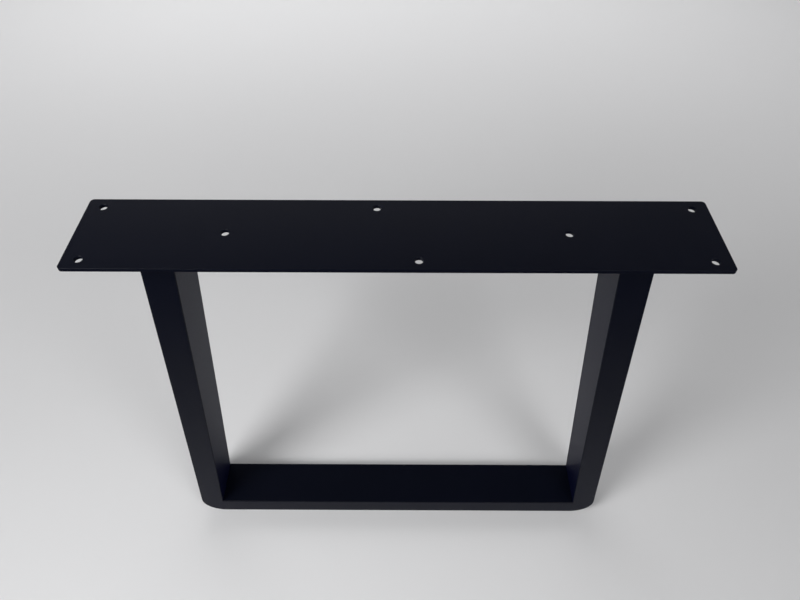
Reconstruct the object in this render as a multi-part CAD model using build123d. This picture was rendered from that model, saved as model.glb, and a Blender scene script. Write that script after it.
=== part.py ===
# Steel table leg: a drilled top plate welded on a frame folded from one rectangular tube.
# Millimetres. X runs along the plate, Y through the tube's depth, Z up from the floor.
# The origin is on the floor, under the middle of the leg.
import os
from math import acos, atan2, cos, degrees, hypot, tan

from build123d import *

# Overall sizes
height = 710.0
plate_length = 760.0
plate_width = 120.0
plate_thickness = 5.0
plate_overhang = 83.0  # plate's end beyond the leg's outer face, at the top

# Rectangular tube
tube_depth = 80.0
tube_thickness = 40.0
tube_wall = 1.5
tube_inner_radius = 0.3  # along the edges of the tube's bore

# Plate edges and holes
plate_corner_radius = 5.0
plate_edge_radius = 0.5
hole_diameter = 10.0
hole_chamfer = 0.5
hole_end_inset = 20.0  # corner holes, from the plate's ends
hole_side_inset = 15.0  # corner and middle holes, from the plate's long sides
inner_hole_gap = 54.0  # inner holes, from the legs' inner faces
middle_hole_stagger = 25.0  # middle holes, to either side of the plate's middle

# Weld beads
weld_size = 4.0
weld_bulge = 0.5  # how far the bead's middle stands out of a flat fillet
weld_root = 0.4  # how far the bead's lower edge starts inside the tube's face

# Where the pieces meet
seat_height = height - plate_thickness
tube_outer_radius = tube_inner_radius + tube_wall
foot_length = plate_length  # over both folds, which end in line with the plate
fold_x = foot_length / 2 - tube_thickness  # sharp inside corner, which the fold turns about
fold_z = tube_thickness

# A leg's outer face leaves the fold's arc as a tangent and ends at the overhang under the plate.
rise = seat_height - fold_z
run = plate_length / 2 - plate_overhang - fold_x
leg_lean = atan2(rise, run) - acos(tube_thickness / hypot(rise, run))


def leg_x(z, depth):
    """Distance from the middle to a point in the leg at height z, this deep behind its inner face."""
    return fold_x - (z - fold_z) * tan(leg_lean) + depth / cos(leg_lean)


def frame_profile(inset):
    """Front outline of the folded tube, with every face moved into the tube by inset."""
    reach = tube_thickness - inset
    inside_z = fold_z - inset
    underside = Line((0, fold_z - reach), (fold_x, fold_z - reach))
    fold = CenterArc((fold_x, fold_z), reach, -90, 90 + degrees(leg_lean))
    outer_face = Line(fold @ 1, (leg_x(seat_height, reach), seat_height))
    open_end = Line(outer_face @ 1, (leg_x(seat_height, inset), seat_height))
    inner_face = Line(open_end @ 1, (leg_x(inside_z, inset), inside_z))
    foot_top = Line(inner_face @ 1, (0, inside_z))
    half = Curve() + [underside, fold, outer_face, open_end, inner_face, foot_top]
    return make_face(half + mirror(half, about=Plane.YZ))


def folded_solid(inset, edge_radius):
    """The folded tube's outside, or its bore, as a filled solid with rounded long edges."""
    profile = Plane.XZ * frame_profile(inset)
    solid = extrude(profile, amount=tube_depth / 2 - inset, both=True)
    levels = solid.faces().filter_by(Axis.Y).edges().group_by(Axis.Z)
    long_edges = [edge for level in levels[:-1] for edge in level]  # all but the open ends
    return fillet(long_edges, edge_radius)


def hole_centres():
    corner_x = plate_length / 2 - hole_end_inset
    side_y = plate_width / 2 - hole_side_inset
    inner_x = leg_x(seat_height, 0) - inner_hole_gap
    corners = [(corner_x * sx, side_y * sy) for sx in (-1, 1) for sy in (-1, 1)]
    inner = [(-inner_x, 0), (inner_x, 0)]
    middle = [(-middle_hole_stagger, side_y), (middle_hole_stagger, -side_y)]
    return corners + inner + middle


def hole_cutter():
    """A plain through hole with both rims broken, standing on the plate's underside."""
    radius = hole_diameter / 2
    upright = (Align.CENTER, Align.CENTER, Align.MIN)
    bore = Cylinder(radius, plate_thickness, align=upright)
    lower_rim = Cone(radius + hole_chamfer, radius, hole_chamfer, align=upright)
    upper_rim = Pos(0, 0, plate_thickness) * mirror(lower_rim, about=Plane.XY)
    return bore + lower_rim + upper_rim


def make_top_plate():
    outline = RectangleRounded(plate_length, plate_width, plate_corner_radius)
    blank = extrude(outline, amount=plate_thickness)
    blank = fillet(blank.faces().filter_by(Axis.Z).edges(), plate_edge_radius)
    holes = [Pos(x, y, 0) * hole_cutter() for x, y in hole_centres()]
    return Pos(0, 0, seat_height) * (blank - holes)


def weld_outline(drop, growth):
    """Level outline round the right leg, this far below the plate and this far out of the tube."""
    z = seat_height - drop
    near = leg_x(z, 0)
    far = leg_x(z, tube_thickness)
    width = far - near + 2 * growth
    outline = RectangleRounded(width, tube_depth + 2 * growth, tube_outer_radius + growth)
    return Pos((near + far) / 2, 0, z) * outline


def make_right_weld(tube_solid):
    """A slightly domed fillet weld all round the leg's upper end."""
    toe = weld_outline(weld_size, -weld_root)
    middle = weld_outline(weld_size / 2, weld_size / 2 + weld_bulge)
    seat = weld_outline(0, weld_size)
    return loft([toe, middle, seat], ruled=True) - tube_solid


tube_solid = folded_solid(0, tube_outer_radius)
tube_bore = folded_solid(tube_wall, tube_inner_radius)
right_weld = make_right_weld(tube_solid)

nodes = {
    "top_plate": make_top_plate(),
    "leg_frame": tube_solid - tube_bore,
    "left_weld": mirror(right_weld, about=Plane.YZ),
    "right_weld": right_weld,
}

os.makedirs("parts", exist_ok=True)
for name, piece in nodes.items():
    export_step(piece, f"parts/{name}.step")
    print(f"{name}: {piece.volume / 1000:.1f} cm3")
print(f"the legs lean in by {degrees(leg_lean):.2f} degrees")
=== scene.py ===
from math import cos, exp, pi, radians, sin, sqrt, tan

import bmesh
import bpy
from mathutils import Matrix, Vector


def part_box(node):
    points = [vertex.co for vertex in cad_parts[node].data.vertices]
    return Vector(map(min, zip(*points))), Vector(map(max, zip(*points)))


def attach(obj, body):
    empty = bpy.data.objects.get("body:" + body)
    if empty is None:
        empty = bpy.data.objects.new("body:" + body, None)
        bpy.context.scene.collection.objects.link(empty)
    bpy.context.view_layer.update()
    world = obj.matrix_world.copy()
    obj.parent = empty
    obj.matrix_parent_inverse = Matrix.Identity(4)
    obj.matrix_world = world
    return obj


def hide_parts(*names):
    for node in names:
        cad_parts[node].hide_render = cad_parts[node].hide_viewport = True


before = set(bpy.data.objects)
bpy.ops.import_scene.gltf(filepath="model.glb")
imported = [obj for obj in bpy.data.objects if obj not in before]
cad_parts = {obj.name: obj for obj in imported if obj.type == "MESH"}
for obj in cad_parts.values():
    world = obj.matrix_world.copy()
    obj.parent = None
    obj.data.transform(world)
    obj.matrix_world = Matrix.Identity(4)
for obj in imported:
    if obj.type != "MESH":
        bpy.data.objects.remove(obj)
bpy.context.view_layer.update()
mm = 0.001  # m
metre = 1000  # mm
print("frame loaded:", sorted(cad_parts))


# helpers for colours, shader nodes and new objects
def hexColour(text):
    parts = [int(text[i:i + 2], 16) / 255 for i in (1, 3, 5)]
    linear = [p / 12.92 if p <= 0.04045 else ((p + 0.055) / 1.055) ** 2.4 for p in parts]  # from sRGB
    return (*linear, 1.0)


def grey(level):
    return (level, level, level, 1.0)


def addNode(tree, kind, inputs=None, **settings):
    node = tree.nodes.new(kind)
    for name, value in settings.items():
        setattr(node, name, value)
    for name, value in (inputs or {}).items():
        if isinstance(value, bpy.types.NodeSocket):
            tree.links.new(value, node.inputs[name])
        else:
            node.inputs[name].default_value = value
    return node


def newMaterial(name):
    material = bpy.data.materials.new(name)
    material.use_nodes = True
    material.node_tree.nodes.clear()
    return material, material.node_tree


def newObject(name, data):
    holder = bpy.data.objects.new(name, data)
    bpy.context.scene.collection.objects.link(holder)
    return holder


def newMesh(name, bm, material):
    mesh = bpy.data.meshes.new(name)
    bm.to_mesh(mesh)
    bm.free()
    mesh.materials.append(material)
    return mesh


# black polyester powder coat, baked on steel: a deep cool matt black with a fine dry grain and the
# slow dimples of orange peel; at a low angle its thin skin of resin shines and the grain looks hazy
coat = {
    "colour": "#02040d",
    "driftColour": "#040612",  # where the film is a little thinner
    "driftSize": 90.0,  # mm
    "driftDetail": 3.0,
    "ior": 1.5,
    "roughness": (0.50, 0.58),
    "specular": 0.07,
    "shineColour": "#e9efff",  # a faint cool cast in its shine
    "skinWeight": 0.107,
    "skinRoughness": 0.24,
    "hazeWeight": 0.02,
    "hazeRoughness": 0.4,
    "hazeColour": "#2a3cff",
    "grainSize": 1.2,  # mm, the real grain is about half of this and wouldn't show
    "grainDetail": 2.0,
    "grainSpread": (0.3, 0.7),  # of the noise, from the smoothest spots to the roughest
    "peelSize": 3.0,  # mm
    "peelDetail": 1.0,
    "peelDepth": 0.02,  # mm
}


def powderCoat():
    material, tree = newMaterial("powderCoatBlack")
    place = addNode(tree, "ShaderNodeTexCoord").outputs["Object"]
    drift = addNode(tree, "ShaderNodeTexNoise",
                    {"Vector": place, "Scale": metre / coat["driftSize"], "Detail": coat["driftDetail"]})
    tone = addNode(tree, "ShaderNodeMix", {"Factor": drift.outputs["Fac"]}, data_type="RGBA")
    tone.inputs[6].default_value = hexColour(coat["colour"])  # its colour sockets go by number
    tone.inputs[7].default_value = hexColour(coat["driftColour"])
    grain = addNode(tree, "ShaderNodeTexNoise",
                    {"Vector": place, "Scale": metre / coat["grainSize"], "Detail": coat["grainDetail"]})
    smooth, rough = coat["roughness"]
    low, high = coat["grainSpread"]
    gloss = addNode(tree, "ShaderNodeMapRange",
                    {"Value": grain.outputs["Fac"], "From Min": low, "From Max": high,
                     "To Min": smooth, "To Max": rough})
    peel = addNode(tree, "ShaderNodeTexNoise",
                   {"Vector": place, "Scale": metre / coat["peelSize"], "Detail": coat["peelDetail"]})
    bump = addNode(tree, "ShaderNodeBump",
                   {"Height": peel.outputs["Fac"], "Distance": coat["peelDepth"] * mm, "Strength": 1.0})
    film = addNode(tree, "ShaderNodeBsdfPrincipled",
                   {"Base Color": tone.outputs[2], "Roughness": gloss.outputs["Result"],
                    "Normal": bump.outputs["Normal"], "IOR": coat["ior"],
                    "Specular IOR Level": coat["specular"],
                    "Specular Tint": hexColour(coat["shineColour"]),
                    "Coat Weight": coat["skinWeight"], "Coat Roughness": coat["skinRoughness"],
                    "Sheen Weight": coat["hazeWeight"], "Sheen Roughness": coat["hazeRoughness"],
                    "Sheen Tint": hexColour(coat["hazeColour"])})
    addNode(tree, "ShaderNodeOutputMaterial", {"Surface": film.outputs["BSDF"]})
    return material


coatMaterial = powderCoat()
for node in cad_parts.values():
    node.data.materials.clear()
    node.data.materials.append(coatMaterial)
print("powder coat on the plate and the folded frame")


# the hand-run fillet weld round each leg's upper end, under the plate
bead = {
    "size": 4.0,  # mm out along the plate, as the plain solid has it
    "drop": 3.6,  # mm down the tube
    "bulge": 0.5,  # mm, how far its middle stands out
    "root": 0.3,  # mm, how far its hidden back sinks into the steel
    "tubeCorner": 1.8,  # mm, the round of the tube's long edges
    "lean": 7.14,  # degrees, the legs' lean
    "ripple": 2.6,  # mm from one ripple to the next
    "rippleHeight": 0.3,  # mm
    "rippleLag": 0.4,  # of a ripple, which bows each one
    "rippleCrest": 1.5,  # above 1 the crests are narrower than the dips
    "rippleMiddle": 0.4,  # of its height, where it neither adds to the bead nor takes away
    "sway": 0.25,  # mm, the hand's unsteadiness
    "swayWaves": ((7, 0.6, 1.0), (15, 0.4, 2.3)),  # waves in one run, their share and where they start
    "stopHeight": 0.5,  # mm, the lump where the run ends
    "stopLength": 4.0,  # mm
    "ringsPerRipple": 6,
    "domeSteps": 9,
    "mergeGap": 0.001,  # mm, closes the run and its outline
    "creaseAngle": 50,  # degrees, sharper edges stay crisp
}


# a place on the tube's inner corner lines and the way out from there, some way along the run
def aroundTube(way, corners, arc):
    for k in range(4):
        start, end = corners[k], corners[(k + 1) % 4]
        along = (end - start).normalized()
        outward = Vector((along.y, -along.x))
        run = (end - start).length
        if way <= run:
            return start + along * way, outward
        way -= run
        if way <= arc or k == 3:
            turn = min(way / arc, 1.0) * pi / 2
            return end, outward * cos(turn) + along * sin(turn)
        way -= arc


# the bead's outline across the run: the rippled dome from the tube to the plate, then its hidden back
def beadSection(share, stopShare, ripples, length):
    size, drop, root = bead["size"], bead["drop"], bead["root"]
    waves = sum(part * sin(2 * pi * count * share + start) for count, part, start in bead["swayWaves"])
    stop = bead["stopHeight"] * exp(-((share - stopShare) * length / bead["stopLength"]) ** 2)
    plain = bead["bulge"] + bead["sway"] * waves + stop
    outline = []
    for step in range(bead["domeSteps"] + 1):
        t = step / bead["domeSteps"]
        dome = sin(pi * t)
        ridge = 0.5 + 0.5 * cos(2 * pi * (ripples * share - bead["rippleLag"] * dome))
        ripple = bead["rippleHeight"] * (ridge ** bead["rippleCrest"] - bead["rippleMiddle"])
        lift = dome * (plain + ripple) / sqrt(2)
        outline.append((size * t + lift, -drop * (1 - t) - lift))
    outline += [(size, root), (-root, root), (-root, -drop), (0.0, -drop)]
    return outline


def makeBead(name, nodeName, side, stopShare):
    low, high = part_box(nodeName)
    halfX = (high.x - low.x) / 2 / mm - bead["size"] - bead["tubeCorner"]
    halfY = (high.y - low.y) / 2 / mm - bead["size"] - bead["tubeCorner"]
    middleX = abs(low.x + high.x) / 2 / mm
    seat = high.z / mm
    square = ((halfX, -halfY), (halfX, halfY), (-halfX, halfY), (-halfX, -halfY))
    corners = [Vector(xy) for xy in square]
    arc = (bead["tubeCorner"] + bead["size"] / 2) * pi / 2
    length = 4 * (halfX + halfY + arc)
    ripples = round(length / bead["ripple"])
    rings = ripples * bead["ringsPerRipple"]
    outlines = [beadSection(k % rings / rings, stopShare, ripples, length) for k in range(rings + 1)]
    across = len(outlines[0]) - 1
    bm = bmesh.new()
    bmesh.ops.create_grid(bm, x_segments=rings, y_segments=across, size=1.0)
    for vert in bm.verts:
        k = round((vert.co.x + 1) / 2 * rings)
        out, up = outlines[k][round((vert.co.y + 1) / 2 * across)]
        place, outward = aroundTube(length * (k % rings) / rings, corners, arc)
        place = place + outward * (bead["tubeCorner"] + out)
        x = middleX + place.x - up * tan(radians(bead["lean"]))
        vert.co = Vector((side * x, place.y, seat + up)) * mm
    bmesh.ops.remove_doubles(bm, verts=bm.verts, dist=bead["mergeGap"] * mm)
    bmesh.ops.recalc_face_normals(bm, faces=bm.faces)
    mesh = newMesh(name, bm, coatMaterial)
    mesh.shade_smooth()
    mesh.set_sharp_from_angle(angle=radians(bead["creaseAngle"]))
    piece = newObject(name, mesh)
    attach(piece, "root")
    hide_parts(nodeName)
    print(name, "has", ripples, "ripples and", len(mesh.polygons), "faces")


makeBead("leftBead", "left_weld", side=-1, stopShare=0.62)
makeBead("rightBead", "right_weld", side=1, stopShare=0.58)


# plain pale paper floor that sweeps up into a round wall, far from the leg
stage = {
    "colour": "#dcdcdd",
    "roughness": 0.85,
    "flatReach": 4.0,  # m
    "coveRadius": 1.4,  # m
    "wallHeight": 3.6,  # m
    "sides": 96,
    "coveSteps": 12,
}


def makeFloor():
    material, tree = newMaterial("seamlessPaper")
    paper = addNode(tree, "ShaderNodeBsdfPrincipled",
                    {"Base Color": hexColour(stage["colour"]), "Roughness": stage["roughness"]})
    addNode(tree, "ShaderNodeOutputMaterial", {"Surface": paper.outputs["BSDF"]})
    flat, cove = stage["flatReach"], stage["coveRadius"]
    levels = []
    for step in range(1, stage["coveSteps"] + 1):
        turn = step / stage["coveSteps"] * pi / 2
        levels.append((flat + cove * sin(turn), cove * (1 - cos(turn))))
    levels.append((flat + cove, stage["wallHeight"]))
    bm = bmesh.new()
    bmesh.ops.create_circle(bm, cap_ends=True, radius=flat, segments=stage["sides"])
    rim = [edge for edge in bm.edges if edge.is_boundary]
    for reach, height in levels:
        grown = bmesh.ops.extrude_edge_only(bm, edges=rim)["geom"]
        rim = [item for item in grown if isinstance(item, bmesh.types.BMEdge) and item.is_boundary]
        for vert in [item for item in grown if isinstance(item, bmesh.types.BMVert)]:
            vert.co = (vert.co.to_2d().normalized() * reach).to_3d() + Vector((0, 0, height))
    bmesh.ops.recalc_face_normals(bm, faces=bm.faces)
    mesh = newMesh("studioFloor", bm, material)
    mesh.shade_smooth()
    newObject("studioFloor", mesh)


makeFloor()
print("floor laid")


# two soft lamps in front of the leg, two over the floor behind it, and a ring that lights the far wall
lamps = {  # m and W
    "leftLamp": {"place": (-0.89, -0.80, 1.45), "aim": (0, 0, 0.3),
                 "size": (0.72, 0.72), "power": 19.4},
    "rightLamp": {"place": (0.81, -1.16, 1.49), "aim": (0, 0, 0.3),
                  "size": (0.80, 0.80), "power": 10.5},
    "backLamp": {"place": (-0.50, 2.30, 2.40), "aim": (-0.5, 2.5, 0),
                 "size": (2.40, 2.40), "power": 15.0},
    "plateLamp": {"place": (-0.55, 3.00, 2.00), "aim": (-0.55, 2.6, 0),
                  "size": (5.00, 2.60), "power": 25.0},
}
wallRing = {
    "radius": 2.0,  # m
    "height": 2.3,  # m
    "tilt": 32,  # degrees, down from level
    "size": (1.2, 1.2),  # m
    "powers": (20, 14, 20, 20, 14, 22),  # W, round from behind the leg
}


def addLamp(name, place, towards, size, power):
    lamp = bpy.data.lights.new(name, "AREA")
    lamp.shape = "ELLIPSE"
    lamp.size, lamp.size_y = size
    lamp.energy = power
    holder = newObject(name, lamp)
    holder.location = place
    holder.rotation_euler = (-towards).to_track_quat("Z", "Y").to_euler()
    holder.visible_camera = False
    return holder


def makeLamps():
    for name, lamp in lamps.items():
        place = Vector(lamp["place"])
        holder = addLamp(name, place, Vector(lamp["aim"]) - place, lamp["size"], lamp["power"])
        holder.visible_glossy = name != "backLamp"  # its glare is kept off the plate
    tilt = radians(wallRing["tilt"])
    for k, power in enumerate(wallRing["powers"]):
        turn = 2 * pi * (k + 0.5) / len(wallRing["powers"])
        outward = Vector((sin(turn), cos(turn), 0))
        place = outward * wallRing["radius"] + Vector((0, 0, wallRing["height"]))
        towards = outward * cos(tilt) - Vector((0, 0, sin(tilt)))
        addLamp(f"wallLamp{k}", place, towards, wallRing["size"], power)


makeLamps()
print("lamps set")


# a room that is pale low down and dark overhead
room = {
    "glow": ((0, 0.34), (33, 0.34), (48, 0.02), (62, 0.01)),  # degrees up and how bright it is there
}


def makeRoom():
    world = bpy.data.worlds.new("room")
    bpy.context.scene.world = world
    world.use_nodes = True
    tree = world.node_tree
    tree.nodes.clear()
    way = addNode(tree, "ShaderNodeTexCoord").outputs["Generated"]
    height = addNode(tree, "ShaderNodeSeparateXYZ", {"Vector": way}).outputs["Z"]
    ramp = addNode(tree, "ShaderNodeValToRGB", {"Fac": height})
    stops = ramp.color_ramp.elements
    lowest, *between, highest = room["glow"]
    stops[0].color = grey(lowest[1])
    stops[1].color = grey(highest[1])
    stops[1].position = sin(radians(highest[0]))
    for rise, level in between:
        stops.new(sin(radians(rise))).color = grey(level)
    glow = addNode(tree, "ShaderNodeBackground", {"Color": ramp.outputs["Color"], "Strength": 1.0})
    addNode(tree, "ShaderNodeOutputWorld", {"Surface": glow.outputs["Background"]})


# a black sheet of painted shade lies below the camera and thins out towards the leg; only the coat's
# reflections see it, so it paints darker reflections of the floor in front
reflectionShade = {
    # painted shade: the sheet's dark colour, seen only in the coat's reflections
    "colour": "#050505",
    "clearEdge": -0.10,  # m along Y, where it begins, still clear
    "blackFrom": -0.62,  # m, black from here on
    "farEdge": -3.0,  # m
    "halfWidth": 2.0,  # m
    "height": 0.01,  # m above the floor
}


def makeReflectionShade():
    material, tree = newMaterial("paintedReflectionShade")
    place = addNode(tree, "ShaderNodeTexCoord").outputs["Object"]
    depth = addNode(tree, "ShaderNodeSeparateXYZ", {"Vector": place}).outputs["Y"]
    shadeCover = addNode(tree, "ShaderNodeMapRange",
                    {"Value": depth, "From Min": reflectionShade["clearEdge"], "From Max": reflectionShade["blackFrom"]})
    clear = addNode(tree, "ShaderNodeBsdfTransparent")
    # painted reflection shade: a dark diffuse sheet that fades in along Y, hidden from the camera,
    # diffuse light and shadows
    shadeBsdf = addNode(tree, "ShaderNodeBsdfDiffuse", {"Color": hexColour(reflectionShade["colour"])})
    shadeMix = addNode(tree, "ShaderNodeMixShader", {"Fac": shadeCover.outputs["Result"]})
    tree.links.new(clear.outputs["BSDF"], shadeMix.inputs[1])
    tree.links.new(shadeBsdf.outputs["BSDF"], shadeMix.inputs[2])
    addNode(tree, "ShaderNodeOutputMaterial", {"Surface": shadeMix.outputs["Shader"]})
    halfDepth = (reflectionShade["clearEdge"] - reflectionShade["farEdge"]) / 2
    middle = Matrix.Translation((0, reflectionShade["clearEdge"] - halfDepth, reflectionShade["height"]))
    spread = Matrix.Diagonal((reflectionShade["halfWidth"], halfDepth, 1, 1))
    bm = bmesh.new()
    bmesh.ops.create_grid(bm, x_segments=1, y_segments=1, size=1.0, matrix=middle @ spread)
    holder = newObject("paintedReflectionShade", newMesh("paintedReflectionShade", bm, material))
    holder.visible_camera = False
    holder.visible_diffuse = False
    holder.visible_shadow = False


makeRoom()
makeReflectionShade()
print("room and net set")


# the camera stands in front of the leg and looks down on it
view = {
    "place": (4.9, -540.3, 1207.7),  # mm
    "lookDown": 48.79,  # degrees
    "turnRight": -0.155,  # degrees
    "roll": 0.109,  # degrees
    "lens": 27.97,  # mm
    "sensorWidth": 36.0,  # mm
    "farClip": 100.0,  # m
}


def makeCamera():
    data = bpy.data.cameras.new("camera")
    data.sensor_width = view["sensorWidth"]
    data.lens = view["lens"]
    data.clip_end = view["farClip"]
    camera = newObject("camera", data)
    aim = Matrix.Rotation(radians(-view["turnRight"]), 4, "Z")
    aim @= Matrix.Rotation(radians(90 - view["lookDown"]), 4, "X")
    aim @= Matrix.Rotation(radians(view["roll"]), 4, "Z")
    camera.matrix_world = Matrix.Translation(Vector(view["place"]) * mm) @ aim
    bpy.context.scene.camera = camera


makeCamera()
bpy.context.scene.view_settings.view_transform = "Standard"
print("camera set")
